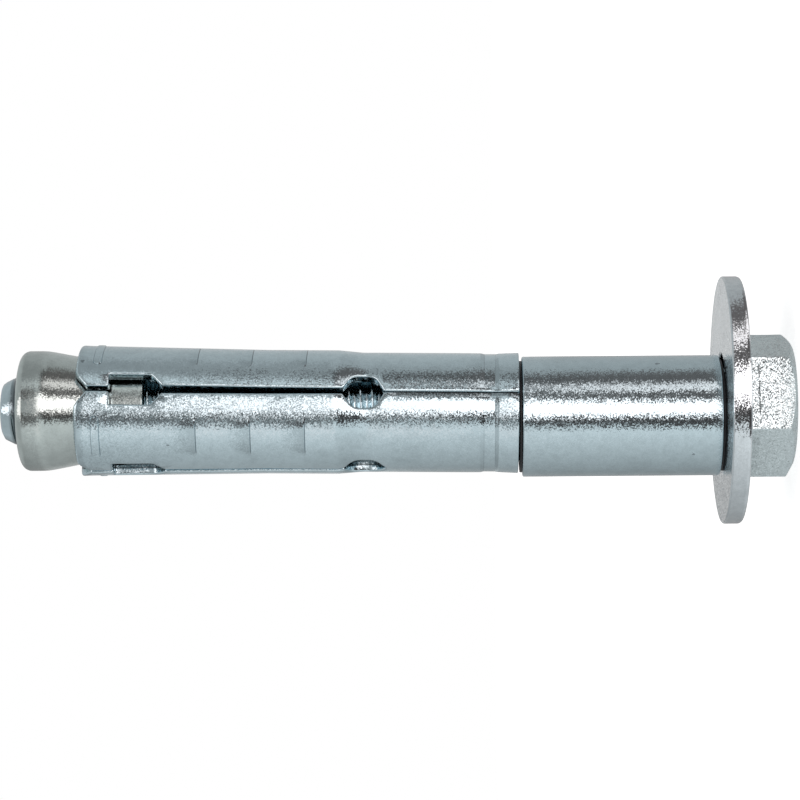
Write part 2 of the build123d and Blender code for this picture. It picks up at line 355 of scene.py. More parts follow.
class Nodes:
    """The node tree of a material or world, with a short way to add and join nodes."""

    def __init__(self, owner):
        owner.use_nodes = True
        self.tree = owner.node_tree
        self.tree.nodes.clear()

    def add(self, kind, inputs=None, **settings):
        """A node of one kind, with settings, and inputs that are values or other nodes' sockets."""
        node = self.tree.nodes.new(kind)
        for name, value in settings.items():
            setattr(node, name, value)
        for name, value in (inputs or {}).items():
            if isinstance(value, bpy.types.NodeSocket):
                self.tree.links.new(value, node.inputs[name])
            else:
                node.inputs[name].default_value = value
        return node

    def maths(self, operation, *values):
        """The output of a maths node."""
        return self.add("ShaderNodeMath", dict(enumerate(values)), operation=operation).outputs[0]

    def vector(self, operation, *values):
        """The output of a vector maths node."""
        node = self.add("ShaderNodeVectorMath", dict(enumerate(values)), operation=operation)
        return node.outputs["Vector"]

    def noise(self, place, size, detail=2.0, roughness=0.5):
        """Smooth noise whose spots are about the given size in metres."""
        node = self.add("ShaderNodeTexNoise", {
            "Vector": place, "Scale": 1 / size, "Detail": detail, "Roughness": roughness,
        })
        return node.outputs["Fac"]

    def between(self, value, low, high, to_low, to_high):
        """The value taken from one range to another, held at its ends."""
        node = self.add("ShaderNodeMapRange", {
            "Value": value, "From Min": low, "From Max": high, "To Min": to_low, "To Max": to_high,
        })
        return node.outputs[0]

    def mixed(self, share, first, second):
        """Two colours mixed by a share."""
        node = self.add("ShaderNodeMix", data_type="RGBA")
        for socket, value in ((0, share), (6, first), (7, second)):
            if isinstance(value, bpy.types.NodeSocket):
                self.tree.links.new(value, node.inputs[socket])
            else:
                node.inputs[socket].default_value = value
        return node.outputs[2]

    def show(self, shader, kind="ShaderNodeOutputMaterial"):
        """Joins a shader to the tree's output."""
        self.tree.links.new(shader.outputs[0], self.add(kind).inputs[0])


# Sizes of the plating's faint stains and blotches, how much its tint varies between its palest and
# dullest spots, how far apart its nicks lie, and how dark they are
STAIN_SIZE = 6.0 * MM
BLOTCH_SIZE = 1.2 * MM
PALEST, DULLEST = 1.03, 0.86
NICK_SPACING = 5.0 * MM
NICK_DIRT = 0.45


def shaded(tint, share):
    """The tint made lighter or darker by a share, with full cover."""
    return tuple(share * value for value in tint) + (1.0,)


def leaning_grains(nodes, place, unevenness):
    """Normals of small grains that each lean their own way.

    A grain is a cell of a Voronoi texture. Its random colour, less a half, times the widest slope
    is how far its normal leans, less up and down than sideways.
    """
    s = bpy.context.scene.anchor_finish
    grains = nodes.add("ShaderNodeTexVoronoi", {"Vector": place, "Scale": 1 / s.grain_size})
    centred = nodes.vector("SUBTRACT", grains.outputs["Color"], (0.5, 0.5, 0.5))
    tilt = s.grain_tilt * unevenness
    lean = nodes.vector("MULTIPLY", centred, (tilt, tilt, tilt * s.grain_lift))
    smooth = nodes.add("ShaderNodeNewGeometry").outputs["Normal"]
    return nodes.vector("NORMALIZE", nodes.vector("ADD", smooth, lean))


def zinc_material(name, tint, unevenness, roughness):
    """Electroplated zinc: glossy leaning grains, with faint stains, nicks, dirt and painted shade."""
    s = bpy.context.scene.anchor_finish
    material = bpy.data.materials.new(name)
    nodes = Nodes(material)
    place = nodes.add("ShaderNodeTexCoord").outputs["Object"]
    normal = leaning_grains(nodes, place, unevenness)
    blotches = nodes.between(nodes.noise(place, BLOTCH_SIZE, 3.0, 0.55), 0.4, 0.7, 0.0, 0.5)
    stains = nodes.between(nodes.noise(place, STAIN_SIZE, 4.0, 0.6), 0.5, 0.75, 0.0, 0.5)
    dullness = nodes.maths("ADD", stains, blotches)
    plating = nodes.mixed(dullness, shaded(tint, PALEST), shaded(tint, DULLEST))
    # This attribute holds painted shade in corners, creases and recesses, and real marks such as the
    # head's trim line
    shade_and_dirt = nodes.add("ShaderNodeAttribute", attribute_name="shade_and_dirt").outputs["Fac"]
    nicks = nodes.add("ShaderNodeTexVoronoi", {"Vector": place, "Scale": 1 / NICK_SPACING})
    nick_size = nodes.between(nodes.noise(place, 0.5 * MM, 1.0), 0.4, 0.7, 0.0, 0.09)
    in_nick = nodes.maths("LESS_THAN", nicks.outputs["Distance"], nick_size)
    darkness = nodes.maths("MAXIMUM", shade_and_dirt, nodes.maths("MULTIPLY", in_nick, NICK_DIRT))
    shader = nodes.add("ShaderNodeBsdfPrincipled", {
        "Base Color": nodes.mixed(darkness, plating, shaded(s.shade_and_dirt, 1.0)),
        "Metallic": 1.0, "Roughness": roughness, "Normal": normal,
    })
    nodes.show(shader)
    return material


def plastic_material(name, tint):
    """Black moulded plastic with a soft sheen and a fine uneven skin."""
    material = bpy.data.materials.new(name)
    nodes = Nodes(material)
    place = nodes.add("ShaderNodeTexCoord").outputs["Object"]
    skin = nodes.noise(place, 0.4 * MM, 2.0)
    gloss = nodes.between(skin, 0.3, 0.7, 0.35, 0.5)
    bump = nodes.add("ShaderNodeBump", {"Height": skin, "Strength": 0.5, "Distance": 0.01 * MM})
    paler = nodes.between(skin, 0.45, 0.7, 0.0, 1.0)
    base = nodes.mixed(paler, shaded(tint, 1.0), shaded(tint, 2.0))
    shader = nodes.add("ShaderNodeBsdfPrincipled", {
        "Base Color": base, "Roughness": gloss, "Normal": bump.outputs[0],
    })
    nodes.show(shader)
    return material


def finish_material(name):
    """The named finish, made once and then shared.

    Each plating has its tint, how uneven its grains lie against the sleeves', and its roughness.
    """
    if name in bpy.data.materials:
        return bpy.data.materials[name]
    s = bpy.context.scene.anchor_finish
    platings = {
        "bright plating": (s.zinc, 1.0, s.roughness),
        "head plating": (s.head_zinc, 4.0, s.head_roughness),
        "washer plating": (s.washer_zinc, 1.3, s.roughness),
        "nut plating": (s.nut_zinc, 0.8, s.nut_roughness),
    }
    if name in platings:
        return zinc_material(name, *platings[name])
    return plastic_material(name, s.plastic)


# The head: the longest run along its flats. A line of dirt runs along one ring of points on one
# face, broken where a wave round the head is under a level. A strip over some rings on the next
# face is mottled by two waves.
FLAT_RUN = 0.4 * MM
LINE_RING = 6
LINE_HALF_ARC = radians(27)
LINE_WAVES, LINE_LEVEL = 23, -0.7
LINE_DIRT = 0.95
STRIP_RINGS = slice(6, 10)
STRIP_HALF_ARC = radians(29)
STRIP_WAVES = (40, 17)
STRIP_DIRT = 0.22


def hexagon_outline(s):
    """The head's rounded hexagon as points (x, y), with extra points along its flats."""
    corner_radius = s.across_flats / 2 / cos(radians(30))
    turns = s.head_turn + radians(60) * np.arange(6)
    corners = corner_radius * np.column_stack([np.cos(turns), np.sin(turns)])
    outline = rounded_path(corners, [s.head_corner_round] * 6, closed=True)
    return divided_loop(outline, FLAT_RUN)


def head_points(s, top):
    """Rings of points up the head: each is the hexagon's outline, or a circle, or a point.

    All rings have their points in the same directions. The bevel lifts each outline point by
    tan(bevel angle) for every metre that it lies outside the round end face, so the bevel's edge
    is a curve that climbs to the corners.
    """
    outline = hexagon_outline(s)
    reach = np.hypot(*outline.T)
    direction = outline / reach[:, None]
    end_radius = s.across_flats / 2 - s.head_end_margin
    bearing_radius = s.across_flats / 2 - s.bearing_margin
    shoulder = top - s.bearing_height
    bevel = (reach - end_radius) * tan(s.head_bevel_angle)
    soft = s.head_edge_round
    rings = [
        (0, 0),
        (end_radius - soft, 0),
        (end_radius + soft, soft * tan(s.head_bevel_angle)),
        (reach - soft, bevel - soft * tan(s.head_bevel_angle)),
        (reach, bevel + soft),
        (reach, shoulder - s.trim_line - 2 * soft),
        (reach, shoulder - s.trim_line),
        (reach, shoulder - s.trim_line + 2 * soft),
        (reach, shoulder - soft),
        (reach - soft, shoulder),
        (bearing_radius, shoulder),
        (bearing_radius, top - soft),
        (bearing_radius - soft, top),
        (0, top),
    ]
    radius, height = np.moveaxis([np.broadcast_arrays(*ring, reach)[:2] for ring in rings], 1, 0)
    return np.dstack([radius * direction[:, 0], radius * direction[:, 1], height])


def head_dirt(s, points):
    """Dirt on the head: a broken trim line on one face and a mottled strip on the next.

    The strip's mottles are the product of its two waves, and never reach zero.
    """
    turn = np.arctan2(points[LINE_RING, :, 1], points[LINE_RING, :, 0])
    from_middle = (turn - s.trim_face + pi) % (2 * pi) - pi
    shade_and_dirt = np.zeros(points.shape[:2])
    unbroken = np.sin(LINE_WAVES * from_middle) > LINE_LEVEL
    shade_and_dirt[LINE_RING] = LINE_DIRT * (np.abs(from_middle) < LINE_HALF_ARC) * unbroken
    next_face = np.abs(from_middle + radians(60)) < STRIP_HALF_ARC
    short, long = STRIP_WAVES
    mottled = 0.55 + 0.45 * np.sin(short * turn) * np.sin(long * turn + 1)
    shade_and_dirt[STRIP_RINGS] += STRIP_DIRT * next_face * mottled
    return shade_and_dirt


# One pitch of the thread: (share of the pitch from the crest's middle, share of the depth). The
# whole thread is turned by a share of a turn.
THREAD_SECTION = [
    (0.0, 0.0), (0.05, 0.0), (0.085, 0.05), (0.34, 0.86), (0.40, 0.97), (0.47, 1.0),
    (0.53, 1.0), (0.60, 0.97), (0.66, 0.86), (0.915, 0.05), (0.95, 0.0),
]
THREAD_START = 0.5
THREAD_COLUMNS = 72
# A ring of painted shade on the bolt just past the nut's end: how far above the nut, the shade's peak,
# the length over which that falls by one to both sides, and the most that shows of it
BOLT_RING_ABOVE = 0.3 * MM
BOLT_RING_PEAK = 1.4
BOLT_RING_REACH = 0.8 * MM
BOLT_RING_SHADE = 0.85


def thread_radius(s, phase):
    """The thread's radius at a share of its pitch: a flat crest, straight flanks and a round root."""
    table = np.array(THREAD_SECTION)
    return s.crest_radius - s.thread_depth * np.interp(phase % 1.0, table[:, 0], table[:, 1])


def shank_points(s, low, high):
    """The threaded shank as a sheared grid: row by row up the helix, column by column round it.

    Point (row, column) lies at height low + pitch * (turn + phase + angle / 2 pi), held between the
    shank's ends, and at the thread's radius there or the tip's bevel, whichever is less. The rows
    start two turns below the shank, so that all of its lower end is closed.
    """
    phases = np.array(THREAD_SECTION)[:, 0]
    turn_count = ceil((high - low) / s.thread_pitch) + 1
    steps = (np.arange(-2, turn_count)[:, None] + phases).reshape(-1, 1) + THREAD_START
    turns = np.linspace(0, 1, THREAD_COLUMNS, endpoint=False)
    height = np.clip(low + s.thread_pitch * (steps + turns), low, high)
    radius = thread_radius(s, (height - low) / s.thread_pitch - turns - THREAD_START)
    bevel_run = s.tip_bevel_depth / tan(s.tip_bevel_angle)
    tip_radius = s.crest_radius - s.tip_bevel_depth
    edge = s.crest_radius
    corners = [(0, high), (tip_radius, high), (edge, high - bevel_run), (edge, low)]
    tip = rounded_path(corners, [0, s.tip_round, 0, 0])
    radius = np.minimum(radius, np.interp(-height, -tip[:, 1], tip[:, 0]))
    return np.dstack([
        radius * np.cos(2 * pi * turns), radius * np.sin(2 * pi * turns), height
    ])


def helix_faces(points, shift):
    """Faces of a grid of rows, closed round with a shift of whole rows, as a thread climbs."""
    index = grid_numbers(*points.shape[:2])
    joint = np.column_stack([index[:len(index) - shift, -1], index[shift:, 0]])
    return np.vstack([grid_faces(index), grid_faces(joint)])[:, ::-1].tolist()


def end_fans(points, levels):
    """The grid's points with both end rings repeated round a point on the axis, and a fan on each."""
    columns = points.shape[1]
    flat, fans = points.reshape(-1, 3), []
    for row, level in zip((0, -1), levels):
        ring = len(flat) + np.arange(columns)
        after, middle = np.roll(ring, -1), np.full(columns, ring[-1] + 1)
        fan = [after, ring, middle] if row == 0 else [ring, after, middle]
        fans += np.column_stack(fan).tolist()
        flat = np.vstack([flat, points[row], [(0, 0, level)]])
    return flat, fans


class ANCHOR_OT_bolt(bpy.types.Operator):
    """Build the hex bolt: bevelled head and a shank with a real right-hand thread"""

    bl_idname = "anchor.bolt"
    bl_label = "Hex Bolt"

    def execute(self, context):
        s = context.scene.anchor_bolt
        head_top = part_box("flat_washer")[0].z
        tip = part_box("hex_bolt")[1].z
        self.make_head(s, head_top)
        self.make_shank(s, head_top, tip)
        return {"FINISHED"}

    def make_head(self, s, head_top):
        """The head as rings from the middle of its end face to the middle of its bearing face."""
        points = head_points(s, head_top)
        faces = grid_faces(closed_round(grid_numbers(*points.shape[:2])))[:, ::-1].tolist()
        plating = finish_material("head plating")
        head = make_piece("bolt_head", points, faces, plating, radians(30), head_dirt(s, points))
        keep_faces_flat(head)
        dress(head, "bolt", "bolt_zinc", "hex_bolt")

    def make_shank(self, s, low, high):
        """The threaded shank, closed at both ends, with a ring of painted shade where the nut ends."""
        grid = shank_points(s, low, high)
        points, fans = end_fans(grid, (low, high))
        faces = helix_faces(grid, len(THREAD_SECTION)) + fans
        # Painted shade on the bolt just past the nut's end
        from_ring = np.abs(points[:, 2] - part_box("cone_nut")[1].z - BOLT_RING_ABOVE)
        shade_and_dirt = np.clip(BOLT_RING_PEAK - from_ring / BOLT_RING_REACH, 0, BOLT_RING_SHADE)
        plating = finish_material("bright plating")
        shank = make_piece("bolt_shank", points, faces, plating, radians(50), shade_and_dirt)
        dress(shank, "bolt", "bolt_zinc", "hex_bolt")


def dress(piece, body, slot, *nodes):
    """The piece rides on its body and stands for its CAD nodes. Its slot is not used."""
    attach(piece, body)
    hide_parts(*nodes)


class ANCHOR_OT_washer(bpy.types.Operator):
    """Build the flat washer with its rolled rims"""

    bl_idname = "anchor.washer"
    bl_label = "Flat Washer"

    def execute(self, context):
        s = context.scene.anchor_washer
        centre, radius, low, high = extent("flat_washer")
        corners = [(s.hole_radius, low), (radius, low), (radius, high), (s.hole_radius, high)]
        radii = [s.hole_back_round, s.back_round, s.front_round, s.hole_front_round]
        profile = rounded_path(corners, radii, closed=True)
        plating = finish_material("washer plating")
        washer = turned_piece("washer", profile, centre, plating, WASHER_COLUMNS)
        dress(washer, "washer", "washer_zinc", "flat_washer")
        return {"FINISHED"}


class ANCHOR_OT_rings(bpy.types.Operator):
    """Build the two thin plastic rings at the distance sleeve's ends"""

    bl_idname = "anchor.rings"
    bl_label = "Plastic Rings"

    def execute(self, context):
        s = context.scene.anchor_spacer
        bore = extent("distance_sleeve")[1] - s.wall
        for node in ("head_end_ring", "middle_ring"):
            centre, radius, low, high = extent(node)
            corners = [(bore, low), (radius, low), (radius, high), (bore, high)]
            profile = rounded_path(corners, [0, s.ring_round, s.ring_round, 0], closed=True)
            plastic = finish_material("moulded plastic")
            ring = turned_piece(node + "_dressed", profile, centre, plastic)
            dress(ring, "distance_sleeve", "ring_plastic", node)
        return {"FINISHED"}


class ANCHOR_OT_distance_sleeve(bpy.types.Operator):
    """Build the plain distance sleeve with its bevelled ends"""

    bl_idname = "anchor.distance_sleeve"
    bl_label = "Distance Sleeve"

    def execute(self, context):
        s = context.scene.anchor_spacer
        centre, radius, low, high = extent("distance_sleeve")
        bore = radius - s.wall
        corners = [
            (bore, low), (radius - s.bevel_in, low), (radius, low + s.bevel_up),
            (radius, high - s.bevel_up), (radius - s.bevel_in, high), (bore, high),
        ]
        radii = [0, s.end_round, s.bevel_round, s.bevel_round, s.end_round, 0]
        profile = rounded_path(corners, radii, closed=True)
        sleeve = turned_piece("spacer", profile, centre, finish_material("bright plating"))
        dress(sleeve, "distance_sleeve", "sleeve_zinc", "distance_sleeve")
        return {"FINISHED"}


# The expansion sleeve's rows of openings come round every quarter turn, and its segments' middles
# lie between them
ROW_ANGLE = radians(90)
SEGMENT_MIDDLES = np.radians([45, 135, 225, 315])
# Its ends are rounded: how far the mouth drops and over what length, and the same for the other end
MOUTH_DROP, MOUTH_DROP_LENGTH = 0.35 * MM, 0.45 * MM
END_ROUND = 0.1 * MM
# Rounding of the openings' small corners, as a share of the edges' rounding
CORNER_SHARE = 1.2
# Heights of the barbs' steps, and how much narrower a barb is where its ramp ends
BARB_STEPS = np.array([31.4, 39.4, 47.4]) * MM
BARB_NARROWING = 0.25
# Its flat sheet: the grid's columns, its plain rows, the rows that follow both ends, those round
# each bend of the groove, those that cross the groove's reach and a barb's ramp as shares of their
# length, and how close rows may lie
COLUMN_ANGLES = radians(1) * np.arange(2.5, 360, 2.5)
PLAIN_ROWS = np.arange(8, 64, 1.5) * MM
END_ROWS = np.array([0.02, 0.06, 0.12, 0.2, 0.3, 0.45]) * MM
GROOVE_ROWS = np.array([-0.1, 0.0, 0.1]) * MM
GROOVE_SHARES = np.array([-1, -0.7, 0.7, 1])
RAMP_ROWS = np.array([0.1, 0.2, 0.32, 0.48, 0.7, 1.0])
ROW_SPACING = 0.4 * MM
# The longest runs along the openings, the mouth and the barbs, and how far the grid's own points
# keep from the openings' edges and from the barbs
OPENING_RUN = 0.8 * MM
MOUTH_RUN = 0.25 * MM
BARB_RUN = 0.4 * MM
EDGE_CLEARANCE = 0.12 * MM
BARB_CLEARANCE = 0.1 * MM
# Paths along each opening that carry its rounded edge, as angles of the quarter circle, and those
# that carry the seam's flank, as shares of its width
EDGE_TURNS = np.radians([25, 47, 68, 90])
FLANK_SHARES = np.array([0.75, 1.0])
# A row's distances are worked out this far to both sides of it: for the grid's points, where no
# spot of the sheet may be left out, and for the edges' rounding and the seam
ROW_WINDOW = radians(46)
EDGE_WINDOW = radians(30)
# Painted shade: in the seam up to a share of its flank, inside, at the barbs' steps, round the bands,
# in the groove's corners over a width, and down the punched walls as (share of the wall's depth,
# darkening), where it is painted shade over the punched edge's darker fracture zone
SEAM_SHADE, SEAM_SHADE_SHARE = 0.45, 0.9
INSIDE_SHADE = 0.3
STEP_SHADE = 0.75
BAND_SHADE = 0.35
GROOVE_SHADE, GROOVE_SHADE_WIDTH = 0.2, 0.1 * MM
WALL_RINGS = ((0.5, 0.0), (0.6, 0.85))


def half_row(s, with_seam):
    """One side of a row of openings as a path of (height, half width), from its root to the mouth.

    A plain row starts in the middle of the root window's blunt end. The row in line with the seam
    starts at the sleeve's head-side end and first climbs the seam's edge.
    """
    low = s.root_window - s.root_window_length / 2
    high = low + s.root_window_length
    side = s.root_window_width / 2
    start = s.mouth_window - s.mouth_window_length / 2
    end = start + s.mouth_window_length
    window_side = s.mouth_window_width / 2
    lip = s.lip_slot / 2
    soft = s.edge_round * CORNER_SHARE
    corners = [
        (low + s.root_window_taper, side),
        (high - s.root_window_taper, side),
        (high, s.root_slot / 2),
        (start, s.mouth_slot / 2),
        (start + s.mouth_window_taper, window_side),
        (end, window_side),
        (end, lip),
        (s.total_length - s.notch_depth, lip),
        (s.total_length, lip + s.notch_side),
    ]
    radii = [
        s.root_window_round, s.root_window_round, soft, soft,
        s.mouth_window_round, s.square_round, soft, soft, 0,
    ]
    if with_seam:
        corners = [(0, s.seam_gap / 2), (low, s.seam_gap / 2)] + corners
        radii = [0, soft] + radii
    else:
        corners = [(low, 0), (low, s.root_slot / 2)] + corners
        radii = [0, soft] + radii
    return divided(rounded_path(corners, radii), OPENING_RUN)


def sleeve_radius(s, height):
    """The outer radius at each height, without barbs: straight between the bends.

    Both ends are rounded as quarter ellipses.
    """
    top = s.total_length
    groove_radius = s.tube_radius - s.groove_depth
    side, step = s.groove_bottom / 2, s.groove_step
    flank = side + s.groove_flank
    bends = np.array([
        (0, s.tube_radius + s.lip_rise),
        (s.groove_height - flank, groove_radius + step),
        (s.groove_height - side, groove_radius),
        (s.groove_height + side, groove_radius),
        (s.groove_height + flank, groove_radius + step),
        (s.groove_height + s.groove_reach, s.tube_radius),
        (s.first_bend, s.tube_radius),
        (s.first_bend + s.first_bend_length, s.tube_radius + s.first_bend_rise),
        (s.second_bend, s.tube_radius + s.first_bend_rise),
        (top - s.mouth_lip_length, s.tube_radius + s.mouth_rise),
        (top, s.tube_radius + s.mouth_rise + s.mouth_lip_rise),
    ])
    radius = np.interp(height, *bends.T)
    radius = radius - quarter_round(top - height, MOUTH_DROP_LENGTH) * MOUTH_DROP
    return radius - quarter_round(height, END_ROUND) * END_ROUND


def quarter_round(distance, run):
    """The share by which a rounded edge has dropped at a distance from it: one at the edge."""
    inward = np.clip(1 - distance / run, 0, 1)
    return 1 - np.sqrt(1 - inward * inward)


def from_segment_middle(s, turn):
    """How far points lie across from the middle of their segment, on the flat sheet."""
    return s.tube_radius * (turn % ROW_ANGLE - ROW_ANGLE / 2)


def barb_half_width(s):
    """Half the width of a barb on the flat sheet."""
    return s.barb_arc / 2 * s.tube_radius


def band_inside(s, across, height):
    """How far points lie inside the raised band near the mouth: a rectangle with rounded ends."""
    up = height - (s.total_length - s.band_from_mouth)
    return patch_inside(across, up, barb_half_width(s), s.band_width / 2, s.band_round)


def barb_rise(s, turn, height):
    """How far the barbs lift the outside.

    Each barb is a step with a ramp that falls as a parabola towards the mouth and grows narrower.
    A low band with rounded ends stands up near the mouth.
    """
    across = np.abs(from_segment_middle(s, turn))
    rise = s.band_rise * np.clip(band_inside(s, across, height) / s.barb_edge, 0, 1)
    for step in BARB_STEPS:
        along = np.clip((height - step) / s.barb_run, 0, 1)
        half_width = barb_half_width(s) * (1 - BARB_NARROWING * along)
        side = np.clip((half_width - across) / s.barb_side, 0, 1)
        front = np.clip((height - step) / s.barb_edge, 0, 1)
        rise = rise + s.barb_rise * side * side * (3 - 2 * side) * front * (1 - along) ** 2
    return rise


def patch_inside(across, up, half_width, half_height, rounding):
    """How far points lie inside a rectangle with rounded corners."""
    beyond_side = np.abs(across) - (half_width - rounding)
    beyond_end = np.abs(up) - (half_height - rounding)
    beyond = np.hypot(np.maximum(beyond_side, 0), np.maximum(beyond_end, 0))
    return rounding - beyond - np.minimum(np.maximum(beyond_side, beyond_end), 0)


def distance_to_path(points, path):
    """The shortest distance from each point to a path: to the nearest spot of each run."""
    start, run = path[:-1], np.diff(path, axis=0)
    arm = points[:, None] - start[None]
    share = np.clip((arm * run).sum(-1) / (run * run).sum(-1), 0, 1)
    away = arm - share[..., None] * run
    return np.hypot(away[..., 0], away[..., 1]).min(1)


def flat_row(s, path, side, row):
    """A half row laid on the flat sheet: a half width becomes the angle asin(half width / radius)."""
    turn = side * np.arcsin(path[:, 1] / sleeve_radius(s, path[:, 0]))
    return np.column_stack([(turn + row * ROW_ANGLE) * s.tube_radius, path[:, 0]])


def offset_paths(path, distances):
    """The path moved into the sheet by each distance, along the mean of its neighbouring normals."""
    runs = np.diff(path, axis=0)
    normals = np.column_stack([-runs[:, 1], runs[:, 0]]) / np.hypot(*runs.T)[:, None]
    mean = np.vstack([normals[:1], normals[:-1] + normals[1:], normals[-1:]])
    mean = mean / np.hypot(*mean.T)[:, None]
    return [path + distance * mean for distance in distances]


class SheetPlan:
    """Points and fixed edges gathered for the triangulation of the flat sheet."""

    def __init__(self):
        self.points = []
        self.edges = []

    def add_path(self, path, closed=False):
        """Adds a path and the edges along it, and returns its point numbers."""
        first = len(self.points)
        numbers = list(range(first, first + len(path)))
        self.points += path.tolist()
        self.edges += list(zip(numbers, numbers[1:]))
        if closed:
            self.edges.append((numbers[-1], numbers[0]))
        return numbers


def sheet_rim(s, seam_half, plain_half):
    """The closed rim of the flat sheet: head-side end, seam, and rows of openings from the mouth."""
    across = COLUMN_ANGLES * s.tube_radius
    bottom = np.column_stack([across, np.zeros(len(across))])
    parts = [bottom, flat_row(s, seam_half, -1, 4)]
    for row in (3, 2, 1):
        parts.append(mouth_edge(parts[-1][-1], flat_row(s, plain_half, 1, row)[-1]))
        parts.append(flat_row(s, plain_half, 1, row)[::-1])
        parts.append(flat_row(s, plain_half, -1, row)[1:])
    last = flat_row(s, seam_half, 1, 0)[::-1]
    parts.append(mouth_edge(parts[-1][-1], last[0]))
    parts.append(last)
    return np.concatenate(parts)


def mouth_edge(start, end):
    """Points along the mouth between two notches, without the two ends."""
    return divided(np.array([start, end]), MOUTH_RUN)[1:-1]


def sheet_levels(s):
    """Heights of the grid's rows: rims, groove, bends and barbs, and plain rows between them."""
    top = s.total_length
    side, flank = s.groove_bottom / 2, s.groove_bottom / 2 + s.groove_flank
    places = np.array([-flank, -side, side, flank])
    groove = (s.groove_height + places[:, None] + GROOVE_ROWS).ravel()
    groove = np.append(groove, s.groove_height + s.groove_reach * GROOVE_SHARES)
    bends = [s.first_bend, s.first_bend + s.first_bend_length, s.second_bend, top - s.mouth_lip_length]
    ramps = (BARB_STEPS[:, None] + s.barb_run * RAMP_ROWS).ravel()
    levels = np.concatenate([END_ROWS, top - END_ROWS, groove, bends, ramps])
    plain = PLAIN_ROWS[np.abs(PLAIN_ROWS[:, None] - levels).min(1) > ROW_SPACING]
    return np.unique(np.concatenate([levels, plain]).round(6))


def sheet_mesh(s):
    """The flat sheet as points (across, up) and triangles.

    A grid of points fills it, each row of openings is followed by paths that carry its rounded
    edge, and each barb by its outline. One constrained triangulation in millimetres joins them all
    and keeps what lies inside the rim.
    """
    seam_half, plain_half = half_row(s, True), half_row(s, False)
    plan = SheetPlan()
    rim = plan.add_path(sheet_rim(s, seam_half, plain_half), closed=True)
    seam_sides = [(1, 0), (-1, 4)]
    plain_sides = [(side, row) for row in (1, 2, 3) for side in (1, -1)]
    for half, sides in ((seam_half, seam_sides), (plain_half, plain_sides)):
        for moved in offset_paths(half, (1 - np.cos(EDGE_TURNS)) * s.edge_round):
            inside = moved[(moved[:, 0] > 0) & (moved[:, 0] < s.total_length)]
            for side, row in sides:
                plan.add_path(flat_row(s, inside, side, row))
    for moved in offset_paths(seam_part(s, seam_half), FLANK_SHARES * s.seam_flank):
        inside = moved[(moved[:, 0] > 0) & (moved[:, 0] < seam_end(s))]
        plan.add_path(flat_row(s, inside, -1, 4))
    add_barb_outlines(s, plan)
    plan.points += free_grid(s).tolist()
    points = [Vector(point) / MM for point in plan.points]
    keep_inside, tolerance = 1, 1e-6
    result = delaunay_2d_cdt(points, plan.edges, [rim], keep_inside, tolerance)
    return np.array([tuple(point) for point in result[0]]) * MM, np.array(result[2])


def seam_end(s):
    """The height where the seam runs into the root window, less the seam's flank."""
    return s.root_window - s.root_window_length / 2 - s.seam_flank


def seam_part(s, seam_half):
    """The points of the seam's half row that lie along the seam itself."""
    return seam_half[seam_half[:, 0] < seam_end(s) + s.seam_flank - s.edge_round]


def add_barb_outlines(s, plan):
    """Three lines along every barb's step and three closed outlines round every raised band."""
    half_width = barb_half_width(s)
    middles = SEGMENT_MIDDLES * s.tube_radius
    for middle in middles:
        for step in BARB_STEPS:
            for height in (step - s.barb_edge, step, step + s.barb_edge):
                line = np.array([(-half_width, height), (half_width, height)])
                plan.add_path(divided(line, BARB_RUN) + (middle, 0))
    for inset in (-s.barb_edge, 0, s.barb_edge):
        size = np.array([half_width - inset, s.band_width / 2 - inset])
        corners = [(-1, -1), (1, -1), (1, 1), (-1, 1)] * size
        outline = rounded_path(corners, [s.band_round - inset] * 4, closed=True)
        outline = divided_loop(outline, BARB_RUN)
        for middle in middles:
            plan.add_path(outline + (middle, s.total_length - s.band_from_mouth), closed=True)


def beside_rows(s, turn, height, radius, window):
    """For each row of openings: its number, its half row, which points are near, and their places.

    A place beside a row is (height, radius * sin(angle from the row)). The seam's row comes twice,
    at both sides of the sheet.
    """
    seam_half, plain_half = half_row(s, True), half_row(s, False)
    for row in range(5):
        from_row = turn - row * ROW_ANGLE
        near = np.abs(from_row) <= window
        sideways = radius[near] * np.abs(np.sin(from_row[near]))
        half = seam_half if row in (0, 4) else plain_half
        yield row, half, near, np.column_stack([height[near], sideways])


def free_grid(s):
    """The grid's points that lie clear of the openings, their rounded edges and the barbs."""
    columns = COLUMN_ANGLES * s.tube_radius
    across, up = [each.ravel() for each in np.meshgrid(columns, sheet_levels(s))]
    turn = across / s.tube_radius
    keep = np.ones(len(up), bool)
    for row, half, near, place in beside_rows(s, turn, up, sleeve_radius(s, up), ROW_WINDOW):
        level, sideways = place.T
        beside_seam = (row == 4) & (level < seam_end(s))
        reach = np.where(beside_seam, s.seam_flank, s.edge_round) + EDGE_CLEARANCE
        clear = distance_to_path(place, half) > reach
        outside = (sideways > np.interp(level, *half.T)) | (level < half[0, 0])
        keep[near] &= clear & outside
    from_middle = from_segment_middle(s, turn)
    keep &= np.abs(band_inside(s, from_middle, up)) > s.barb_edge + BARB_CLEARANCE
    beside = np.abs(from_middle) > barb_half_width(s) + BARB_CLEARANCE
    for step in BARB_STEPS:
        keep &= beside | (np.abs(up - step) > s.barb_edge + BARB_CLEARANCE)
    return np.column_stack([across, up])[keep]


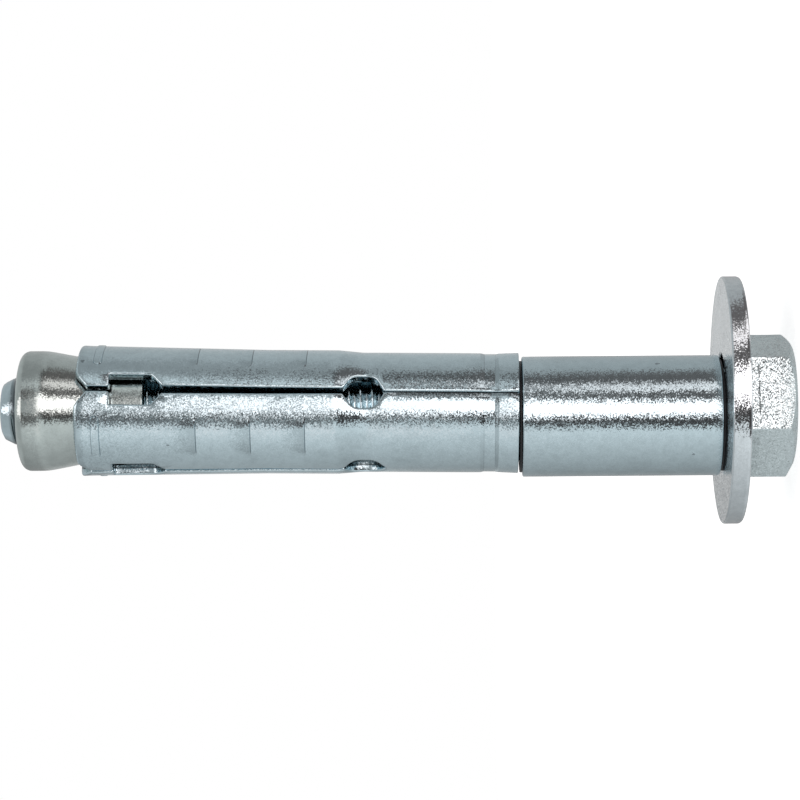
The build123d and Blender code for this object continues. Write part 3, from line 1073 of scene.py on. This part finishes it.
class ANCHOR_OT_expansion_sleeve(bpy.types.Operator):
    """Build the expansion sleeve: a punched sheet, rolled round the bolt and spread at its mouth"""

    bl_idname = "anchor.expansion_sleeve"
    bl_label = "Expansion Sleeve"

    def execute(self, context):
        s = context.scene.anchor_sleeve
        flat, triangles = sheet_mesh(s)
        points, faces, shade_and_dirt = rolled_up(s, flat, triangles)
        plating = finish_material("bright plating")
        sleeve = make_piece("slotted_sleeve", points, faces, plating, radians(45), shade_and_dirt)
        tilt = atan2(-s.end_shift, s.total_length)
        lift = (s.tube_radius + s.lip_rise) * sin(tilt)
        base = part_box("middle_ring")[1].z + lift
        place = Matrix.Translation((s.end_shift, 0, base)) @ Matrix.Rotation(tilt, 4, "Y")
        sleeve.data.transform(place)
        dress(sleeve, "expansion_sleeve", "sleeve_zinc", "expansion_sleeve")
        return {"FINISHED"}


def rolled_up(s, flat, triangles):
    """The sheet rolled up as points, faces and painted shade, with a darker fracture zone on the
    punched walls: each flat point has an outside and an inside.

    The angle is the flat distance over the tube's radius. The outside drops towards every punched
    edge as a quarter circle, and beside the seam as a slope. Walls join both sides along the rim.
    """
    turn, height = flat[:, 0] / s.tube_radius, flat[:, 1]
    plain = sleeve_radius(s, height)
    edge = edge_distance(s, turn, height, plain)
    barbed = plain + barb_rise(s, turn, height)
    flank = np.clip(s.seam_flank - edge, 0, None) * tan(s.seam_slope)
    on_last_side = turn > 4 * ROW_ANGLE - EDGE_WINDOW
    fade = np.clip((seam_end(s) - height) / s.seam_flank, 0, 1) * on_last_side
    edged = barbed - s.edge_round * quarter_round(edge, s.edge_round)
    outside = rolled_points(s, np.minimum(edged, barbed - flank * fade), turn, height)
    inside = rolled_points(s, np.interp(height, *inside_bends(s)), turn, height)
    # Painted shade in the seam's crevice, at the outside's steps and corners, and all over the inside
    seam_shade = SEAM_SHADE * fade * (edge < SEAM_SHADE_SHARE * s.seam_flank)
    outer_shade = np.maximum(outside_shade(s, turn, height), seam_shade)
    ring_points, walls, ring_shade_and_fracture = punched_walls(outside, inside, rim_edges(triangles))
    points = np.vstack([outside, inside] + ring_points)
    faces = triangles.tolist() + (triangles[:, ::-1] + len(flat)).tolist() + walls
    return points, faces, np.concatenate([outer_shade, np.full(len(flat), INSIDE_SHADE)] + ring_shade_and_fracture)


def rolled_points(s, radius, turn, height):
    """Points at a radius, an angle from the first row of openings, and a height."""
    world = turn + s.first_row
    return np.column_stack([radius * np.cos(world), radius * np.sin(world), height])


def punched_walls(outside, inside, rim):
    """Walls from the outside to the inside along the rim's edges, with darker rings in between: painted
    shade over the punched edge's darker fracture zone.

    Gives the rings' points, the walls' faces and the rings' darkening. A ring's point lies on the line
    between its outside and its inside point, at a share of the wall's depth.
    """
    count = len(outside)
    used, number = np.unique(rim, return_inverse=True)
    number = number.reshape(rim.shape)
    rings = [2 * count + len(used) * place + number for place in range(len(WALL_RINGS))]
    rings = [rim, *rings, rim + count]
    walls = [
        np.column_stack([a[:, 0], b[:, 0], b[:, 1], a[:, 1]]) for a, b in zip(rings, rings[1:])
    ]
    depth = inside[used] - outside[used]
    points = [outside[used] + share * depth for share, _ in WALL_RINGS]
    return points, np.vstack(walls).tolist(), [np.full(len(used), shade_and_dirt) for _, shade_and_dirt in WALL_RINGS]


def faded(distance, width):
    """One at distance zero, falling evenly to zero at the width to both sides."""
    return np.clip(1 - np.abs(distance) / width, 0, 1)


def outside_shade(s, turn, height):
    """Painted shade on the outside: dark lines at the barbs' steps, faint ones at bands and groove."""
    from_middle = from_segment_middle(s, turn)
    shade_and_dirt = BAND_SHADE * faded(band_inside(s, from_middle, height), s.barb_edge)
    along_step = np.abs(from_middle) < barb_half_width(s) - s.barb_side / 2
    for step in BARB_STEPS:
        shade_and_dirt = np.maximum(shade_and_dirt, STEP_SHADE * faded(height - step, s.barb_edge) * along_step)
    from_corner = np.abs(height - s.groove_height) - s.groove_bottom / 2
    return np.maximum(shade_and_dirt, GROOVE_SHADE * faded(from_corner, GROOVE_SHADE_WIDTH))


def inside_bends(s):
    """Heights and radii of the sleeve's inside at its bends."""
    heights = [s.first_bend, s.first_bend + s.first_bend_length, s.second_bend, s.total_length]
    rises = [0, s.first_bend_rise, s.first_bend_rise, s.mouth_rise + s.mouth_lip_rise]
    return heights, [s.tube_radius - s.wall + rise for rise in rises]


def edge_distance(s, turn, height, radius):
    """The distance from each point of the sheet to the nearest punched edge or seam edge.

    Points far from every row of openings count as endlessly far.
    """
    distance = np.full(len(turn), np.inf)
    for _, half, near, place in beside_rows(s, turn, height, radius, EDGE_WINDOW):
        distance[near] = np.minimum(distance[near], distance_to_path(place, half))
    return distance


def rim_edges(triangles):
    """Directed edges that belong to one triangle only."""
    edges = np.concatenate([triangles[:, [0, 1]], triangles[:, [1, 2]], triangles[:, [2, 0]]])
    ordered = np.sort(edges, axis=1)
    _, place, count = np.unique(ordered, axis=0, return_inverse=True, return_counts=True)
    return edges[count[place.ravel()] == 1]


class ANCHOR_OT_cone_nut(bpy.types.Operator):
    """Build the cone nut that sits in the sleeve's mouth"""

    bl_idname = "anchor.cone_nut"
    bl_label = "Cone Nut"

    def execute(self, context):
        s = context.scene.anchor_nut
        centre, radius, low, high = extent("cone_nut")
        rim_low = high - s.end_round - s.rim_length
        cone_low = rim_low - (radius - s.neck_radius) / tan(s.cone_angle)
        bore, bevel = s.bore_radius, s.bore_bevel
        corners = [
            (bore, low + bevel), (bore + bevel, low), (s.neck_radius, low), (s.neck_radius, cone_low),
            (radius, rim_low), (radius, high), (bore + bevel, high), (bore, high - bevel),
        ]
        radii = [0, 0, s.neck_round, s.neck_blend, s.cone_blend, s.end_round, s.bore_round, 0]
        profile = rounded_path(corners, radii, closed=True)
        nut = turned_piece("nut", profile, centre, finish_material("nut plating"))
        dress(nut, "cone_nut", "nut_zinc", "cone_nut")
        return {"FINISHED"}


# The studio round the anchor, from below the horizon up. Each row of strips fades in over a range
# of slopes of the view and lists (degrees from the camera's side towards the picture's top,
# brightness). The brightest and the darkest strips are warm, so that they look neutral on zinc.
BRIGHTEST_STRIP = 2.0
WARM_TONE = (1.12, 1.0, 0.98)
WARM_ABOVE, WARM_BELOW = 1.0, 0.15
LIGHT_ROWS = [
    (None, [
        (-180, 0.40), (-135, 0.34), (-90, 0.50), (-50, 0.68), (-24, 0.86), (-19, 0.06), (-3, 0.05),
        (3, 2.0), (24, 2.0), (30, 0.10), (46, 0.12), (50, 1.30), (58, 1.10), (67, 0.13), (88, 0.14),
        (98, 0.42), (125, 0.46), (180, 0.45),
    ]),
    ((-0.038, -0.028), [
        (-180, 0.45), (-135, 0.38), (-90, 0.52), (-50, 0.72), (-17, 0.95), (-13, 0.08), (-3, 0.05),
        (2, 2.0), (32, 2.0), (36, 0.08), (46, 0.10), (56, 0.12), (66, 0.06), (80, 0.08),
        (86, 0.42), (125, 0.52), (180, 0.60),
    ]),
    ((0.018, 0.040), [
        (-180, 0.90), (-172, 0.60), (-139, 0.44), (-105, 0.51), (-81, 0.60), (-55, 0.78), (-29, 1.02),
        (-23, 0.26), (-10, 0.22), (-5, 1.60), (24, 1.60), (31, 0.90), (42, 0.75), (50, 1.00),
        (56, 0.92), (62, 0.62), (74, 0.38), (96, 0.36), (110, 0.50), (140, 0.54), (172, 0.60),
        (180, 0.90),
    ]),
    ((0.060, 0.105), [
        (-180, 0.60), (-139, 0.42), (-105, 0.50), (-81, 0.58), (-55, 0.74), (-29, 0.96), (-23, 0.18),
        (-8, 0.10), (-3, 0.30), (24, 0.26), (31, 0.22), (42, 0.45), (50, 0.75), (56, 0.78), (62, 0.50),
        (74, 0.36), (96, 0.34), (110, 0.46), (140, 0.50), (180, 0.60),
    ]),
    ((0.125, 0.150), [
        (-180, 0.28), (-128, 0.33), (-96, 0.39), (-73, 0.45), (-46, 0.62), (-27, 0.64), (-20, 0.12),
        (-10, 0.06), (-3, 0.42), (22, 0.38), (29, 0.06), (43, 0.14), (49, 0.60), (56, 0.60), (62, 0.33),
        (92, 0.33), (111, 0.40), (172, 0.50), (180, 0.60),
    ]),
    ((0.350, 0.600), [
        (-180, 0.55), (-14, 0.45), (-8, 1.60), (26, 1.60), (32, 0.45), (180, 0.55),
    ]),
]
# The floor's half width and how far it lies below the part. To gloss it shows a plain grey near the
# anchor, the lowest row over the first of these ranges of distance, and the second row over the
# other. To the camera it glows, so that it is white beside the shadow.
FLOOR_HALF = 4.0
FLOOR_DROP = 0.01 * MM
FLOOR_STRIPS_START = (0.010, 0.022)
FLOOR_SECOND_ROW = (1.3, 1.9)
FLOOR_GREY = 0.50
FLOOR_GLOW = 0.74
# Nearest and farthest distance that the camera sees
CAMERA_RANGE = (0.01, 20.0)


class ANCHOR_OT_stage(bpy.types.Operator):
    """Set up floor, studio light and camera"""

    bl_idname = "anchor.stage"
    bl_label = "Stage"

    def execute(self, context):
        s = context.scene.anchor_stage
        context.scene.view_settings.view_transform = "Standard"
        self.make_floor(s)
        self.make_world(context.scene, s)
        self.make_camera(context.scene, s)
        return {"FINISHED"}

    def make_floor(self, s):
        """A wide pale floor: white to the camera apart from the shadow, striped to gloss."""
        corners = np.array([(-1, -1, 0), (1, -1, 0), (1, 1, 0), (-1, 1, 0)]) * FLOOR_HALF
        corners -= (0, 0, FLOOR_DROP)
        material = bpy.data.materials.new("floor")
        nodes = Nodes(material)
        rays = nodes.add("ShaderNodeLightPath").outputs
        camera_glow = nodes.maths("MULTIPLY", rays["Is Camera Ray"], FLOOR_GLOW)
        diffuse = nodes.add("ShaderNodeBsdfDiffuse", {"Color": (0.8, 0.8, 0.8, 1)})
        glow = nodes.add("ShaderNodeEmission", {"Color": (1, 1, 1, 1), "Strength": camera_glow})
        both = nodes.add("ShaderNodeAddShader", {0: diffuse.outputs[0], 1: glow.outputs[0]})
        place = nodes.add("ShaderNodeTexCoord").outputs["Object"]
        away = nodes.add("ShaderNodeVectorMath", {0: place}, operation="LENGTH").outputs["Value"]
        far = nodes.between(away, *FLOOR_STRIPS_START, 0.0, 1.0)
        near_grey = shaded((1, 1, 1), FLOOR_GREY / BRIGHTEST_STRIP)
        turn = around(nodes, place)
        lowest, second = (light_row(nodes, turn, strips) for _, strips in LIGHT_ROWS[:2])
        strips = nodes.mixed(nodes.between(away, *FLOOR_SECOND_ROW, 0.0, 1.0), lowest, second)
        shown = nodes.mixed(far, near_grey, strips)
        strength = s.light * BRIGHTEST_STRIP
        mirrored = nodes.add("ShaderNodeEmission", {"Color": shown, "Strength": strength})
        shader = nodes.add("ShaderNodeMixShader", {
            0: rays["Is Glossy Ray"], 1: both.outputs[0], 2: mirrored.outputs[0],
        })
        nodes.show(shader)
        floor = make_piece("floor", corners, [(0, 1, 2, 3)], material)

    def make_world(self, scene, s):
        """Soft strips of light and shade that stand upright round the anchor; white to the camera."""
        world = bpy.data.worlds.new("studio")
        scene.world = world
        nodes = Nodes(world)
        direction = nodes.add("ShaderNodeTexCoord").outputs["Generated"]
        slope = nodes.add("ShaderNodeSeparateXYZ", {0: direction}).outputs[2]
        turn = around(nodes, direction)
        shown = light_row(nodes, turn, LIGHT_ROWS[0][1])
        for fade, strips in LIGHT_ROWS[1:]:
            share = nodes.between(slope, *fade, 0.0, 1.0)
            shown = nodes.mixed(share, shown, light_row(nodes, turn, strips))
        strength = s.light * BRIGHTEST_STRIP
        studio = nodes.add("ShaderNodeBackground", {"Color": shown, "Strength": strength})
        white = nodes.add("ShaderNodeBackground", {"Color": (1, 1, 1, 1), "Strength": 1.0})
        both = nodes.add("ShaderNodeMixShader", {
            0: nodes.add("ShaderNodeLightPath").outputs["Is Camera Ray"],
            1: studio.outputs[0], 2: white.outputs[0],
        })
        nodes.show(both, "ShaderNodeOutputWorld")

    def make_camera(self, scene, s):
        """A level camera on the -Y side, turned a quarter turn so that the head is at the right."""
        data = bpy.data.cameras.new("camera")
        data.lens = s.lens
        data.shift_x = s.lens_shift
        data.clip_start, data.clip_end = CAMERA_RANGE
        camera = bpy.data.objects.new("camera", data)
        scene.collection.objects.link(camera)
        right = Vector((-sin(s.roll), 0, -cos(s.roll)))
        up = Vector((cos(s.roll), 0, -sin(s.roll)))
        back = Vector((0, -1, 0))
        rotation = Matrix((right, up, back)).transposed().to_4x4()
        place = Matrix.Translation((s.camera_side, -s.distance, s.camera_height))
        camera.matrix_world = place @ rotation
        scene.camera = camera


def around(nodes, place):
    """The angle of a place or direction round the upright axis, atan2(x, -y), as zero to one."""
    parts = nodes.add("ShaderNodeSeparateXYZ", {0: place}).outputs
    turn = nodes.maths("ARCTAN2", parts[0], nodes.maths("MULTIPLY", parts[1], -1.0))
    return nodes.between(turn, -pi, pi, 0.0, 1.0)


def strip_colour(brightness):
    """The colour of a strip against the brightest one, in its own tone."""
    warm = brightness > WARM_ABOVE or brightness < WARM_BELOW
    return shaded(WARM_TONE if warm else (1.0, 1.0, 1.0), brightness / BRIGHTEST_STRIP)


def light_row(nodes, turn, strips):
    """The brightness of one row of strips at an angle: a ramp whose ends meet behind."""
    node = nodes.add("ShaderNodeValToRGB", {0: turn})
    ramp = node.color_ramp
    while len(ramp.elements) < len(strips):
        ramp.elements.new(0.5)
    for element, (degrees, brightness) in zip(ramp.elements, strips):
        element.position = (degrees + 180) / 360
        element.color = strip_colour(brightness)
    return node.outputs[0]


class ANCHOR_PT_panel(bpy.types.Panel):
    """Lists the anchor's pieces"""

    bl_idname = "ANCHOR_PT_panel"
    bl_label = "Sleeve Anchor"
    bl_space_type = "VIEW_3D"
    bl_region_type = "UI"
    bl_category = "Anchor"

    def draw(self, context):
        for operator in OPERATORS:
            self.layout.operator(operator.bl_idname)


SETTINGS = {
    "anchor_bolt": BoltSettings,
    "anchor_washer": WasherSettings,
    "anchor_spacer": SpacerSettings,
    "anchor_sleeve": SleeveSettings,
    "anchor_nut": NutSettings,
    "anchor_finish": FinishSettings,
    "anchor_stage": StageSettings,
}
OPERATORS = [
    ANCHOR_OT_bolt,
    ANCHOR_OT_washer,
    ANCHOR_OT_rings,
    ANCHOR_OT_distance_sleeve,
    ANCHOR_OT_expansion_sleeve,
    ANCHOR_OT_cone_nut,
    ANCHOR_OT_stage,
]


def register():
    """Registers settings, operators and panel."""
    for name, group in SETTINGS.items():
        bpy.utils.register_class(group)
        setattr(bpy.types.Scene, name, bpy.props.PointerProperty(type=group))
    for operator in OPERATORS:
        bpy.utils.register_class(operator)
    bpy.utils.register_class(ANCHOR_PT_panel)


def unregister():
    """Takes everything back out."""
    bpy.utils.unregister_class(ANCHOR_PT_panel)
    for operator in reversed(OPERATORS):
        bpy.utils.unregister_class(operator)
    for name, group in SETTINGS.items():
        delattr(bpy.types.Scene, name)
        bpy.utils.unregister_class(group)


def main():
    """Builds every piece and the stage."""
    register()
    bpy.ops.anchor.bolt()
    bpy.ops.anchor.washer()
    bpy.ops.anchor.rings()
    bpy.ops.anchor.distance_sleeve()
    bpy.ops.anchor.expansion_sleeve()
    bpy.ops.anchor.cone_nut()
    bpy.ops.anchor.stage()


if __name__ == "__main__":
    main()
